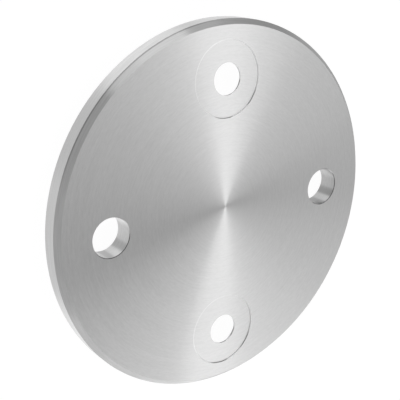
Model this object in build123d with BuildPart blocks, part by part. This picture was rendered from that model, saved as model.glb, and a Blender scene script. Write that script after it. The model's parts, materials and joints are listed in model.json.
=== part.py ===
from build123d import *
from math import radians, tan
import os

# A round flange plate, turned and drilled from one piece of metal. All sizes are in millimetres.
#
# The plate lies flat on its back face. The origin is the centre of that face, and +Z points out
# of the finished front face. The plain bolt holes lie on the X axis, the screw holes on the Y axis.

# --- The turned disc ---
plate_diameter = 100.0
plate_thickness = 5.6
rim_chamfer = 1.35              # 45 degree chamfer round the front of the rim
back_edge_break = 0.2           # 45 degree deburring cut round the back of the rim

# --- All holes share one pitch circle ---
pitch_circle_diameter = 70.0
holes_of_each_kind = 2

# --- Plain bolt holes ---
bolt_hole_diameter = 10.4
bolt_hole_edge_break = 0.15     # 45 degree deburring cut on both mouths

# --- Screw holes: a shallow spotface in front, a countersink for the screw's head behind ---
screw_hole_diameter = 8.4
spotface_diameter = 20.0
spotface_depth = 0.2            # just deep enough to clean up a seat
spotface_edge_break = 0.1       # 45 degree deburring cut round the top of the spotface
screw_hole_land = 0.4           # straight bore left between the spotface and the countersink
countersink_angle = 90.0

# --- Sizes that follow from those above ---
plate_radius = plate_diameter / 2
pitch_circle_radius = pitch_circle_diameter / 2
countersink_depth = plate_thickness - spotface_depth - screw_hole_land
countersink_flare = countersink_depth * tan(radians(countersink_angle / 2))
countersink_radius = screw_hole_diameter / 2 + countersink_flare

front = Plane.XY.offset(plate_thickness)
back = -Plane.XY

with BuildPart() as flange_plate:
    # The disc is its half-section, with both rim cuts drawn in, turned about the Z axis.
    with BuildSketch(Plane.XZ):
        with BuildLine():
            Polyline(
                (0, 0),
                (plate_radius - back_edge_break, 0),
                (plate_radius, back_edge_break),
                (plate_radius, plate_thickness - rim_chamfer),
                (plate_radius - rim_chamfer, plate_thickness),
                (0, plate_thickness),
                close=True,
            )
        make_face()
    revolve(axis=Axis.Z)

    # The bolt holes go straight through, and are deburred on both sides.
    with Locations(front):
        with PolarLocations(pitch_circle_radius, holes_of_each_kind):
            Hole(bolt_hole_diameter / 2)
    bolt_hole_mouths = flange_plate.edges(Select.LAST).filter_by(GeomType.CIRCLE)
    chamfer(bolt_hole_mouths, bolt_hole_edge_break)

    # Each screw hole is drilled and spotfaced from the front, a quarter turn from the bolt holes.
    with Locations(front):
        with PolarLocations(pitch_circle_radius, holes_of_each_kind, start_angle=90):
            CounterBoreHole(screw_hole_diameter / 2, spotface_diameter / 2, spotface_depth)
    spotface_rims = flange_plate.edges(Select.LAST).filter_by(GeomType.CIRCLE).group_by(Axis.Z)[-1]
    chamfer(spotface_rims, spotface_edge_break)

    # The countersinks are cut from the back, and stop short of the spotfaces by the land.
    with Locations(back):
        with PolarLocations(pitch_circle_radius, holes_of_each_kind, start_angle=90):
            CounterSinkHole(
                screw_hole_diameter / 2, countersink_radius, counter_sink_angle=countersink_angle
            )

flange_plate.part.label = "flange_plate"

os.makedirs("parts", exist_ok=True)
export_step(flange_plate.part, "parts/flange_plate.step")
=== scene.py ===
# %% [markdown]
# # A turned and brushed flange plate
#
# The finished part is a flat metal disc with four holes. Its shape is complete in the CAD model, so this
# script adds no geometry to it. What it teaches is how to make one plain disc look like machined metal:
# a camera that stands where it should, a finish whose fine grooves run in circles, and studio lamps that
# turn those grooves into the bright fan that every brushed disc shows.
#
# Everything is in metres, in the frame of the CAD model: the disc lies on its back face at z = 0, and the
# origin is the centre of that face.

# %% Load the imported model
import json
import math

import bpy
from mathutils import Matrix, Vector


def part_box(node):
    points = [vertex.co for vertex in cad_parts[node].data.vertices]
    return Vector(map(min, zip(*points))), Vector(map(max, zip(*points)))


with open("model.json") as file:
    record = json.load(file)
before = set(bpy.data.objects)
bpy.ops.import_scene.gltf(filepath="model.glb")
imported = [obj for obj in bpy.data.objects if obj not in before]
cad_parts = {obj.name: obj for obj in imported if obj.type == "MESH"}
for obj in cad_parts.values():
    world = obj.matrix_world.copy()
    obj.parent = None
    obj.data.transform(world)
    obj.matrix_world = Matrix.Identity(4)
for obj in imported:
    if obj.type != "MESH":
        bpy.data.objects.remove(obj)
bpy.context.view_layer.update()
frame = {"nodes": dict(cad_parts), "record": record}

MM = 0.001
scene = bpy.context.scene
plate = frame["nodes"]["flange_plate"]
plate_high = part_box("flange_plate")[1]
plate_radius = plate_high.x
plate_thickness = plate_high.z
print(f"plate: radius {plate_radius / MM:.1f} mm, thickness {plate_thickness / MM:.1f} mm")

# %% [markdown]
# ## Where the holes are
#
# The finish changes inside the holes, so the material needs to know where they lie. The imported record
# states each hole pattern as a mount, with its spacing and its radius in millimetres. Reading them there
# keeps the finish in step with the part: if the pitch changes, the finish follows.

# %% Hole positions and sizes from the record
mounts = {mount["name"]: mount for mount in frame["record"]["mounts"]}
bolt_dims = mounts["bolt_holes"]["dims"]
screw_dims = mounts["screw_holes"]["dims"]
bolt_hole_offset = bolt_dims["spacing_x_mm"] / 2 * MM
bolt_hole_radius = bolt_dims["hole_r_mm"] * MM
screw_hole_offset = screw_dims["spacing_y_mm"] / 2 * MM
screw_hole_radius = screw_dims["hole_r_mm"] * MM
print(f"bolt holes: {bolt_hole_offset / MM:.1f} mm out along X, radius {bolt_hole_radius / MM:.1f} mm")
print(f"screw holes: {screw_hole_offset / MM:.1f} mm out along Y, radius {screw_hole_radius / MM:.1f} mm")

# %% [markdown]
# ## The camera
#
# A flat disc shows itself best from above and to one side, as an ellipse with its edge in view. The
# camera stands on a sphere round the part, so three values place it: how far away it is, how far it has
# tipped from straight above, and from which side it looks. It is aimed at a point a little beside the
# centre. +Y is taken as the upward direction, so that the screw holes stand one above the other, and a
# touch of roll is added to that.

# %% Place the camera
camera_distance = 4.776 * plate_radius
tip_from_above = math.radians(41.53)
seen_from = math.radians(150.19)        # measured from +X towards +Y
camera_roll = math.radians(-0.53)
aim_point = Vector((-0.0843, 0.0424, 0)) * plate_radius
lens_mm = 79.83
sensor_mm = 36

camera_data = bpy.data.cameras.new("camera")
camera = bpy.data.objects.new("camera", camera_data)
scene.collection.objects.link(camera)
camera_data.sensor_width = sensor_mm
camera_data.lens = lens_mm
camera_data.clip_start = 0.01
camera_data.clip_end = 20

camera.location = camera_distance * Vector((
    math.sin(tip_from_above) * math.cos(seen_from),
    math.sin(tip_from_above) * math.sin(seen_from),
    math.cos(tip_from_above),
))
look = (aim_point - camera.location).normalized()
side = look.cross(Vector((0, 1, 0))).normalized()
level = Matrix((side, side.cross(look), -look)).transposed()
camera.rotation_mode = "QUATERNION"
camera.rotation_quaternion = (level @ Matrix.Rotation(-camera_roll, 3, "Z")).to_quaternion()
scene.camera = camera
print(f"camera at {tuple(round(c, 4) for c in camera.location)}, lens {lens_mm} mm")

# %% [markdown]
# ## Writing shader maths as arithmetic
#
# A procedural finish is a formula over the surface. Wired by hand, even a short formula is a dozen Math
# nodes. The class below wraps one output socket and overloads the arithmetic operators, so that a formula
# is written as a formula, and every operator adds its Math node. The method `add` makes any other node:
# its settings go in first, because they decide which sockets it has, and then its sockets get numbers
# or links.


# %% A socket that understands arithmetic
class Wire:
    """One output socket of a shader node."""

    def __init__(self, tree, socket=None):
        self.tree = tree
        self.socket = socket

    def add(self, node_type, settings=None, inputs=None, output=0):
        """Adds a node and returns the wire that leaves it."""
        node = self.tree.nodes.new(node_type)
        for name, value in (settings or {}).items():
            setattr(node, name, value)
        for name, value in (inputs or {}).items():
            if isinstance(value, Wire):
                self.tree.links.new(value.socket, node.inputs[name])
            else:
                node.inputs[name].default_value = value
        return Wire(self.tree, node.outputs[output]) if node.outputs else None

    def math(self, operation, *others):
        values = dict(enumerate((self, *others)))
        return self.add("ShaderNodeMath", {"operation": operation}, values)

    def __add__(self, other):
        return self.math("ADD", other)

    __radd__ = __add__

    def __sub__(self, other):
        return self.math("SUBTRACT", other)

    def __rsub__(self, other):
        return (self * -1) + other

    def __mul__(self, other):
        return self.math("MULTIPLY", other)

    __rmul__ = __mul__

    def __truediv__(self, other):
        return self.math("DIVIDE", other)

    def part(self, name):
        """X, Y or Z of a vector."""
        return self.add("ShaderNodeSeparateXYZ", inputs={"Vector": self}, output=name)

    def toward(self, other, share):
        """This value where share is 0, the other where it is 1."""
        return self + (other - self) * share

    def between(self, low, high):
        """0 below low, 1 above high, and a smooth rise from one to the other."""
        return self.add(
            "ShaderNodeMapRange",
            {"interpolation_type": "SMOOTHSTEP"},
            {"Value": self, "From Min": low, "From Max": high},
        )


print("Wire: +, -, * and / add Math nodes")

# %% [markdown]
# ## The brushed finish
#
# The plate is faced on a lathe and then brushed while it turns, so its scratches are circles about the
# axis. Two things show that. Close up there are fine lines along the circles, some lighter, some duller.
# From further off the lines spread every reflection across themselves and keep it narrow along
# themselves, which makes the bright fan.
#
# The fan could be painted on, but then it would stay put when the part is turned. It is left to the
# shader instead: the Principled BSDF's Anisotropic value makes one roughness into two, and its default
# direction already circles the Z axis through the middle of the part. A quarter turn of Anisotropic
# Rotation lays the wide spread across the lines.
#
# On this plate the brushing was not quite centred: the circles close about a millimetre off the middle of
# the disc, towards the upper screw hole. The shader takes its default direction from the middle of the
# mesh's texture space, the box that generated coordinates are measured in. Shifting that box moves the
# centre of the brushing. It is a setting for materials, and leaves every vertex where it is.

# %% Centre the brushing
brushing_offset = 0.0214 * plate_radius
plate.data.use_auto_texspace = False
plate.data.texspace_location = (0, brushing_offset, plate_thickness / 2)
plate.data.texspace_size = (plate_radius,) * 3
print(f"brushing centred {brushing_offset / MM:.2f} mm from the middle, towards the upper screw hole")

# %% [markdown]
# ## Where a point lies, and where it faces
#
# Every surface here was made about an axis: the plate's own, the brushing's, or a hole's. So the first
# thing that the finish needs is the distance of a point from each of them. One distance serves both holes
# of a pair, because the size of X or of Y, without its sign, folds the plate in half.

# %% Coordinates over the surface
brushed = bpy.data.materials.new("brushed_metal")
brushed.use_nodes = True
brushed.node_tree.nodes.clear()
start = Wire(brushed.node_tree)

point = start.add("ShaderNodeTexCoord", output="Object")
facing = start.add("ShaderNodeTexCoord", output="Normal")
x, y, z = (point.part(name) for name in "XYZ")
facing_x, facing_y, facing_z = (facing.part(name) for name in "XYZ")


def distance(across, up):
    """How far a point is from an axis parallel to Z, given its two distances from it along X and Y."""
    return (across * across + up * up).math("SQRT")


y_from_screw_hole = y.math("ABSOLUTE") - screw_hole_offset
from_axis = distance(x, y)
from_brushing = distance(x, y - brushing_offset)
from_bolt_hole = distance(x.math("ABSOLUTE") - bolt_hole_offset, y)
from_screw_hole = distance(x, y_from_screw_hole)
print("distances from the plate's axis, the brushing's centre and the holes")

# %% [markdown]
# ## Which surface is which
#
# The plate is one piece of metal, but its surfaces were cut in different ways: the two broad faces, the
# 45 degree cuts, and the walls of the rim and the holes. Each could have a material slot of its own. One
# material with masks needs no change to the mesh, and can fade from one surface to the next. How far the
# surface leans says which kind it is, and its distance from an axis says which one of that kind. A mask
# is 1 inside and 0 outside, and masks are combined by multiplying them.

# %% Masks for the surfaces
soft_edge = 0.1 * MM
rim_reach = 1.6 * MM                    # from the rim inwards: the chamfer is 1.35 mm wide
hole_reach = 0.4 * MM                   # from the wall of a hole outwards


def beyond(distance_from_axis, limit):
    """0 up to the limit, and 1 from a soft edge further out."""
    return distance_from_axis.between(limit, limit + soft_edge)


# the lean is 1 on the faces, 0.71 on the cuts and 0 on the walls, so the limits lie between those
lean = facing_z.math("ABSOLUTE")
face = lean.between(0.86, 0.96)
wall = 1 - lean.between(0.3, 0.5)
cut = 1 - face - wall

near_rim = beyond(from_axis, plate_radius - rim_reach)
near_bolt_hole = 1 - beyond(from_bolt_hole, bolt_hole_radius + hole_reach)
near_screw_hole = 1 - beyond(from_screw_hole, screw_hole_radius + hole_reach)
rim_wall = near_rim * wall
chamfer = near_rim * cut
bolt_hole_wall = near_bolt_hole * wall
bolt_hole_edge = near_bolt_hole * cut
screw_hole_wall = near_screw_hole * wall
print("masks: the faces, and the walls and cuts of the rim and the holes")

# %% [markdown]
# Three surfaces are no wider than a hair, and show all the same. The chamfer ends in a lip where it meets
# the rim, and that lip gets painted shade. A spotface, the shallow round flat about a screw hole, has a
# low wall, and about that wall a thin ring gets a painted highlight. Neither has a shape of its own in the
# mesh, so each mask is a thin ring, and the painted colour does the rest.

# %% Masks for the chamfer lip, the spotface highlight ring and the spotface walls
spotface_radius = 10 * MM
lip_width = 0.2 * MM
wall_reach = 0.2 * MM
chamfer_lip = chamfer * beyond(from_axis, plate_radius - lip_width - soft_edge)


def ring(inner, outer):
    """1 about a screw hole's axis between two distances, and 0 inside and outside them."""
    return beyond(from_screw_hole, inner - soft_edge) * (1 - beyond(from_screw_hole, outer))


spotface_wall = (1 - face) * ring(spotface_radius - wall_reach, spotface_radius + wall_reach)
# the thin ring about each spotface that gets a painted highlight
spotface_highlight_ring = face * ring(spotface_radius - lip_width / 2, spotface_radius + lip_width)
print("masks: the lips of the chamfer and the spotfaces, and the spotface walls")

# %% [markdown]
# ## Brush lines
#
# A brush line is long in the direction in which the metal moved past the brush, and thin across it. Rings
# drawn by a wave texture would be too regular, so the lines come from noise. One of its coordinates runs
# fast across the lines, and the point itself, slowed down, gives the other two. On the faces the fast
# coordinate is the radius about the centre of the brushing. On the rim and its chamfer, which were turned,
# it runs down the profile, and in a hole it is the depth. Two lengths are mixed, because a real brush
# leaves both short scratches and long rings. Near the centre, where the rings are small, the lines fade.


# %% Streaks of a chosen width and length
def streaks(across, width, length):
    """Noise drawn out into lines: `width` is measured along `across`, `length` along the surface."""
    place = start.add(
        "ShaderNodeCombineXYZ", inputs={"X": across / width, "Y": x / length, "Z": y / length}
    )
    return start.add("ShaderNodeTexNoise", inputs={"Vector": place, "Scale": 1.0}) - 0.5


short_lines = streaks(from_brushing, 0.40 * MM, 1.6 * MM)
long_lines = streaks(from_brushing, 0.50 * MM, 16 * MM)
turned_lines = streaks(from_axis - z, 0.30 * MM, 8 * MM)
bore_lines = streaks(z, 0.35 * MM, 2.5 * MM)

short_share = 0.72
long_share = 0.5
cut_share = 1.6                         # a cutter's marks are stronger than a brush's
centre_strength = 0.35                  # at the very centre, against 1 further out
strength = centre_strength + (1 - centre_strength) * from_brushing.between(1 * MM, 18 * MM)
lines = (short_lines * short_share + long_lines * long_share) * strength
lines = lines.toward(turned_lines * cut_share, near_rim * (1 - face))
lines = lines.toward(bore_lines * cut_share, bolt_hole_wall)
print("brush lines on the faces, turned lines on the rim, drilled lines in the bolt holes")

# %% [markdown]
# ## Painted light and dark bands
#
# The walls aren't of one tone: light and dark bands are painted into their colour, as painted reflections
# and painted shade, and they run down the wall like the light and dark stripes of a column. Noise round
# the wall would give bands too, but in places that nobody chose. Here each band is found by the direction
# in which the wall faces: the cosine of the angle between that and a chosen direction is 1 in the middle
# of the band, and falls off on both sides. In the two bolt holes the bands are turned some degrees apart.


# %% Bands by the direction that a surface faces
def cosine(degrees):
    return math.cos(math.radians(degrees))


def sine(degrees):
    return math.sin(math.radians(degrees))


sideways = distance(facing_x, facing_y)
right_half = x.between(-1 * MM, 1 * MM)


def faces(direction):
    """1 where a wall or a cut faces this way, in degrees from +X towards +Y, and -1 on the far side."""
    return (facing_x * cosine(direction) + facing_y * sine(direction)) / sideways


def band(direction, fade_out, full=0, turned=0):
    """1 within `full` degrees of a direction, 0 from `fade_out` on, with a smooth fall between them.

    The band is turned on by `turned` degrees in the +X half of the plate, and back in the other half.
    """
    looks = faces(direction - turned)
    if turned:
        looks = looks.toward(faces(direction + turned), right_half)
    return looks.between(cosine(fade_out), cosine(full))


print("bands of a chosen direction and width")

# %% [markdown]
# The tone of each surface is a base value plus its bands, where 1 is the tone of the faces, and the bands
# are painted reflections and painted shade. The bolt holes are painted lightest where their wall faces
# down and left, and the right one is painted darker all over. The rim and the chamfer share a painted dark
# band where they face about 148 degrees.

# %% Painted light and shade on the bolt holes, the rim and the chamfer
# painted light and shade in the bolt holes: bands by the direction the wall faces, and the right hole
# painted darker
right_hole_painted_shade = 0.18
bore_painted_light_and_shade = 1.02 + 0.15 * band(215, 73, full=37) + 0.28 * band(232, 41)
bore_painted_light_and_shade = bore_painted_light_and_shade * (1 - right_hole_painted_shade * right_half)
for direction, change in ((118, 0.20), (71, 0.15), (93, -0.10), (143, -0.23)):
    bore_painted_light_and_shade = bore_painted_light_and_shade + change * band(direction, fade_out=17, turned=5)

# painted light and shade on the rim: lighter overall, with painted reflections and shade by the direction
# it faces
rim_painted_light_and_shade = 1.09
for direction, change in ((87, 0.11), (119, 0.12), (148, -0.11), (208, 0.16), (225, -0.11), (242, 0.13)):
    rim_painted_light_and_shade = rim_painted_light_and_shade + change * band(direction, fade_out=16)

# painted light and shade on the chamfer: darker overall, lighter where it faces left, with bands by
# direction
chamfer_painted_light_and_shade = 0.80 + 0.18 * faces(180)
for direction, change in ((76, -0.13), (120, 0.07), (149, -0.08), (207, -0.18), (251, 0.20)):
    chamfer_painted_light_and_shade = chamfer_painted_light_and_shade + change * band(direction, fade_out=18)
for direction, change in ((100, 0.12), (129, -0.09), (234, 0.06)):
    chamfer_painted_light_and_shade = chamfer_painted_light_and_shade + change * band(direction, fade_out=9)
print("tones of the bolt holes, the rim and the chamfer")

# %% [markdown]
# An edge shows as a hairline, with painted shade where it turns away from the lamps: on the far side of a
# bolt hole, and along the upper left of the chamfer's lip. Two stretches of a spotface's wall get painted
# shade, by the direction they face. The rest of that wall is rough, hardly metallic, and painted pale,
# which is painted light. So is the wall of the screw hole, which has painted shade in two places.

# %% Painted light and shade on the edges, the spotface walls and the screw holes
# painted shade on the far side of each bolt hole's edge
edge_in_shade = faces(105).toward(faces(150), right_half).between(cosine(83), cosine(60))
bolt_hole_edge_painted_shade = 1.1 - 0.8 * edge_in_shade
# painted shade along the upper left of the chamfer's lip
chamfer_lip_shade = chamfer_lip * band(128, 38, full=21)
chamfer_lip_painted_shade_tone = 0.55

# painted shade on two stretches of the spotface wall, by the direction they face; the rest is painted pale
# as painted light
spotface_painted_shade = 0.6 * band(145, 18, full=6) + band(84, 20, full=7)
spotface_painted_light_and_shade = 1.6 - 1.25 * spotface_painted_shade
# painted light and shade: the screw hole wall is painted pale, with painted shade where it faces 154 and
# 95 degrees
screw_hole_painted_light_and_shade = 1.6 - 0.9 * (band(154, 26, full=8) + band(95, 22, full=6))

upper_left = 155                        # in degrees from +X towards +Y, about the screw hole
side_of_screw_hole = (
    x * cosine(upper_left) + y_from_screw_hole * y.math("SIGN") * sine(upper_left)
) / from_screw_hole
# painted highlight on the upper left side of the ring about each spotface
spotface_painted_highlight = spotface_highlight_ring * side_of_screw_hole.between(cosine(72), cosine(24))
print("tones of the edges, the spotface walls and the screw holes")

# %% [markdown]
# ## The metal itself
#
# The bands and lines now meet in one shader. Each tone, with its painted light and shade, is laid over its
# own surface by its mask, and the spotface's painted highlight is added. The lines make the metal a little
# lighter or darker and a little sharper or duller, and raise a bump too fine to measure: a groove in real
# metal does all three. Anisotropic and its rotation are the same all over, so they are plain numbers on
# the shader.

# %% The brushed metal
base_grey = 0.62
line_contrast = 0.24
# how much the painted spotface highlight lightens the metal
spotface_highlight_strength = 0.18
# tone: 1 on the faces, with painted light and shade on the walls, the chamfer and the edges
tone = 1 + (rim_painted_light_and_shade - 1) * rim_wall + (chamfer_painted_light_and_shade - 1) * chamfer + (bore_painted_light_and_shade - 1) * bolt_hole_wall
tone = tone.toward(chamfer_lip_painted_shade_tone, chamfer_lip_shade).toward(bolt_hole_edge_painted_shade, bolt_hole_edge)
tone = tone.toward(screw_hole_painted_light_and_shade, screw_hole_wall).toward(spotface_painted_light_and_shade, spotface_wall)
grey = base_grey * (tone + spotface_highlight_strength * spotface_painted_highlight) * (1 + line_contrast * lines)

brushed_roughness = 0.345
line_roughness = 0.10
dull_roughness = 0.85
dull_paleness = 0.9                     # how far a dull wall is from bare metal
dull_wall = spotface_wall * (1 - spotface_painted_shade) + screw_hole_wall
roughness = (brushed_roughness + line_roughness * lines).toward(dull_roughness, dull_wall)
metallic = 1 - dull_paleness * dull_wall

colour = start.add("ShaderNodeCombineColor", inputs={"Red": grey, "Green": grey, "Blue": grey})
bump = start.add("ShaderNodeBump", inputs={"Height": lines, "Strength": 0.05, "Distance": 0.02 * MM})
metal = start.add(
    "ShaderNodeBsdfPrincipled",
    inputs={
        "Base Color": colour,
        "Metallic": metallic,
        "Roughness": roughness,
        "Anisotropic": 0.985,
        "Anisotropic Rotation": 0.25,
        "Normal": bump,
    },
)
start.add("ShaderNodeOutputMaterial", inputs={"Surface": metal})
plate.material_slots[0].material = brushed
print("finish:", brushed.name, "on", plate.name, "with", len(brushed.node_tree.nodes), "nodes")

# %% [markdown]
# ## The floor
#
# The part lies on white paper that still takes a faint shadow. Lamps strong enough to bleach the paper
# would bleach the metal too, so the floor only looks white: rays from the camera, and those that come off
# or through something, find a sheet of white light mixed with a little ordinary paper, and the paper
# carries the shadow. Every other ray finds the paper alone. The sheet lies a hair below the plate, so that
# the two never share a plane, and is clear from below, so that the back of the plate can be looked at.

# %% A pale floor
floor_half = 3.0
floor_height = -0.05 * MM
floor_mesh = bpy.data.meshes.new("floor")
signs = ((-1, -1), (1, -1), (1, 1), (-1, 1))
corners = [(across * floor_half, along * floor_half, floor_height) for across, along in signs]
floor_mesh.from_pydata(corners, [], [(0, 1, 2, 3)])
floor = bpy.data.objects.new("floor", floor_mesh)
scene.collection.objects.link(floor)

white = (1, 1, 1, 1)
paper_white = (0.8, 0.8, 0.8, 1)
light_share = 0.9
light_strength = 1.06                   # with the paper's tenth it adds up to white

paper = bpy.data.materials.new("paper")
paper.use_nodes = True
paper.node_tree.nodes.clear()
sheet = Wire(paper.node_tree)
seen = sum(
    sheet.add("ShaderNodeLightPath", output=ray)
    for ray in ("Is Camera Ray", "Is Glossy Ray", "Is Transmission Ray")
)
share = seen.math("MINIMUM", 1) * light_share
ordinary = sheet.add("ShaderNodeBsdfDiffuse", inputs={"Color": paper_white})
glowing = sheet.add("ShaderNodeEmission", inputs={"Color": white, "Strength": light_strength})
from_above = sheet.add("ShaderNodeMixShader", inputs={"Fac": share, 1: ordinary, 2: glowing})
below = sheet.add("ShaderNodeNewGeometry", output="Backfacing")
clear = sheet.add("ShaderNodeBsdfTransparent", inputs={"Color": white})
surface = sheet.add("ShaderNodeMixShader", inputs={"Fac": below, 1: from_above, 2: clear})
sheet.add("ShaderNodeOutputMaterial", inputs={"Surface": surface})
floor_mesh.materials.append(paper)
print(f"floor: {2 * floor_half:.0f} m square")

# %% [markdown]
# ## The room
#
# A real studio has white walls, which fill the shadows. An image of a room would bring its own shapes into
# the metal, so the world is one even tone. It lights the plate at half of white, which keeps the dark
# sides of the fan grey and not black, and the camera sees it as white.

# %% An even room
room = bpy.data.worlds.new("room")
scene.world = room
room.use_nodes = True
room.node_tree.nodes.clear()
air = Wire(room.node_tree)
in_view = air.add("ShaderNodeLightPath", output="Is Camera Ray")
room_light = 0.497
lit = air.add("ShaderNodeBackground", inputs={"Color": white, "Strength": room_light})
backdrop = air.add("ShaderNodeBackground", inputs={"Color": white, "Strength": 1})
both = air.add("ShaderNodeMixShader", inputs={"Fac": in_view, 1: lit, 2: backdrop})
air.add("ShaderNodeOutputWorld", inputs={"Surface": both})
print("room: even white light")

# %% [markdown]
# ## The lamps
#
# Brushed metal shows its lamps as fans, one pair of rays for each lamp, so the lamps are placed for the
# rays that they make. A strip on the right gives the bright upright fan, and its narrow core gives the
# sharp ray in the middle of it. The key lamp fills the face from the lower right. A lamp low down beyond
# the upper screw hole lights the rim and the chamfer there, and a broad one beyond the lower screw hole
# softens the lower half.
#
# A lamp could be given a power in watts, but then its brightness in a reflection would change with its
# size. Here each one is given its radiance, the brightness that a mirror would show, and the power follows
# from the area.

# %% Softboxes
lamp_distance = 12 * plate_radius


def softbox(name, azimuth, height, width, length, turn, radiance):
    """A rectangular lamp aimed at the plate. Angles are in degrees, sizes are shares of its distance."""
    data = bpy.data.lights.new(name, "AREA")
    data.shape = "RECTANGLE"
    data.size = width * lamp_distance
    data.size_y = length * lamp_distance
    data.energy = radiance * math.pi * data.size * data.size_y
    lamp = bpy.data.objects.new(name, data)
    scene.collection.objects.link(lamp)
    level = cosine(height)
    direction = Vector((level * cosine(azimuth), level * sine(azimuth), sine(height)))
    level_side = Vector((0, 0, 1)).cross(direction).normalized()
    upright = Matrix((level_side, direction.cross(level_side), direction)).transposed()
    lamp.location = lamp_distance * direction
    lamp.rotation_mode = "QUATERNION"
    lamp.rotation_quaternion = (upright @ Matrix.Rotation(math.radians(turn), 3, "Z")).to_quaternion()
    print(f"{name}: {data.size:.2f} by {data.size_y:.2f} m, {data.energy:.2f} W")


softbox("strip_softbox", azimuth=8, height=52.5, width=0.26, length=0.90, turn=-95, radiance=1.14)
softbox("strip_core", azimuth=8, height=52.5, width=0.05, length=0.90, turn=-95, radiance=0.85)
softbox("key_softbox", azimuth=-43, height=19, width=0.74, length=0.44, turn=-39, radiance=2.15)
softbox("top_softbox", azimuth=98, height=10, width=0.50, length=0.85, turn=90, radiance=1.70)
softbox("low_softbox", azimuth=266, height=29, width=1.13, length=0.72, turn=0, radiance=0.90)

# %% [markdown]
# ## The view transform
#
# The Standard view shows colours as they were written.

# %% The view transform
scene.view_settings.view_transform = "Standard"
